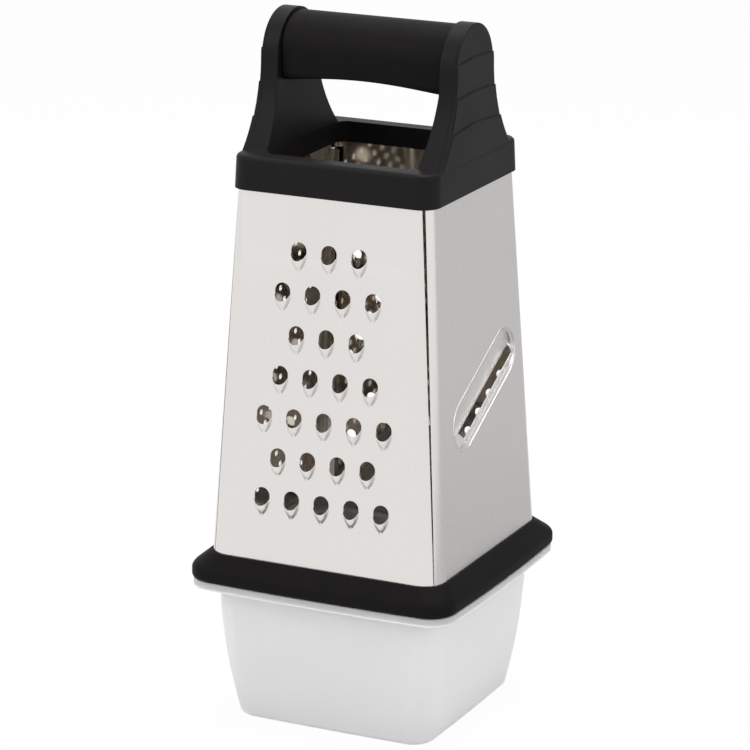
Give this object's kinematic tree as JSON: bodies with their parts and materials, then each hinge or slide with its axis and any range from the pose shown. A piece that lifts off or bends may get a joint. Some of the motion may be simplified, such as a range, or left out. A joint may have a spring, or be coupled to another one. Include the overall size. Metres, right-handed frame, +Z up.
{
  "type": "box grater",
  "caption": "Four-sided tapering box grater with coarse, medium and fine faces, an angled slicer, a bridge handle and a lift-off catch container under its soft base ring.",
  "frame": {"origin": "middle of the container's underside", "axes": "+Z up, X along the coarse face and the grip, coarse face towards -Y, slicer face towards +X"},
  "size_m": [0.1192, 0.1192, 0.2883],
  "materials": {
    "steel": "satin stainless sheet",
    "screws": "plain",
    "collar": "satin black",
    "frame": "satin black",
    "ring": "natural milky",
    "core": "matte black",
    "bumper": "matte soft-touch",
    "grip": "matte soft-touch",
    "container": "frosted translucent"
  },
  "bodies": {
    "container": {"container": "container"},
    "grater": {"base_ring": "ring", "base_bumper": "bumper", "coarse_panel": "steel", "slicer_panel": "steel", "medium_panel": "steel", "fine_panel": "steel", "collar_shell": "collar", "handle_frame": "frame", "clamp_ring": "frame", "clamp_screws": "screws", "grip_core": "core", "grip_sleeve": "grip", "grip_screws": "screws"}
  },
  "joints": [
    {"name": "container_lift", "type": "slide", "parent": "container", "child": "grater", "axis": [0, 0, 1], "range_m": [0, 0.1]}
  ]
}
